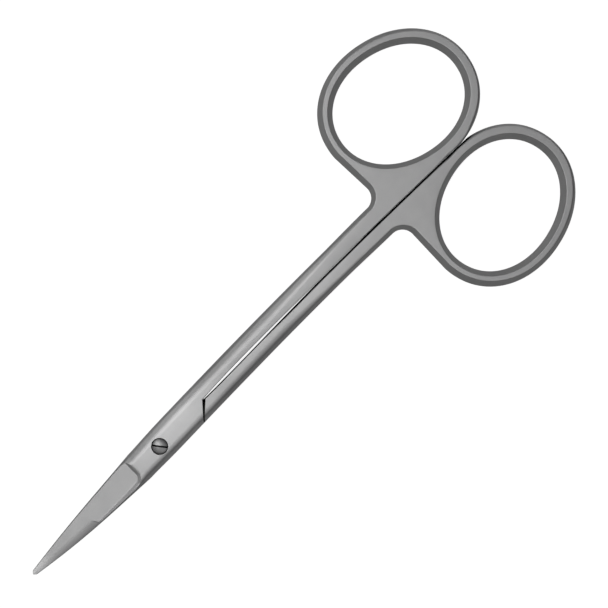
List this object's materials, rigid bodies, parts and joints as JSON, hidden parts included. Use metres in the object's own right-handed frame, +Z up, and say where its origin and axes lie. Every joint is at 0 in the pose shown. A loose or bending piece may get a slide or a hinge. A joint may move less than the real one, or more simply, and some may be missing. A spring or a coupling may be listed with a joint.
{
  "type": "flap scissors",
  "caption": "Fine straight scissors with slim pointed blades, long shanks, oval finger rings and a slotted pivot screw.",
  "frame": {"origin": "where the pivot screw's axis meets the underside of the joint, in the plane that the closed scissors lie on", "axes": "+X from the pivot to the blade tips, +Y towards the ring of the lower half, +Z up along the pivot screw, out of its head"},
  "size_m": [0.1154, 0.0493, 0.0035],
  "materials": {
    "satin_steel": "satin, bead blasted; ground on the blades",
    "screw_steel": "satin, turned"
  },
  "bodies": {
    "lower": {"lower_half": "satin_steel", "pivot_screw": "screw_steel"},
    "upper": {"upper_half": "satin_steel"}
  },
  "joints": [
    {"name": "blade_pivot", "type": "hinge", "parent": "lower", "child": "upper", "pos_m": [0, 0, 0.0017], "axis": [0, 0, 1], "range_deg": [0, 120]}
  ]
}
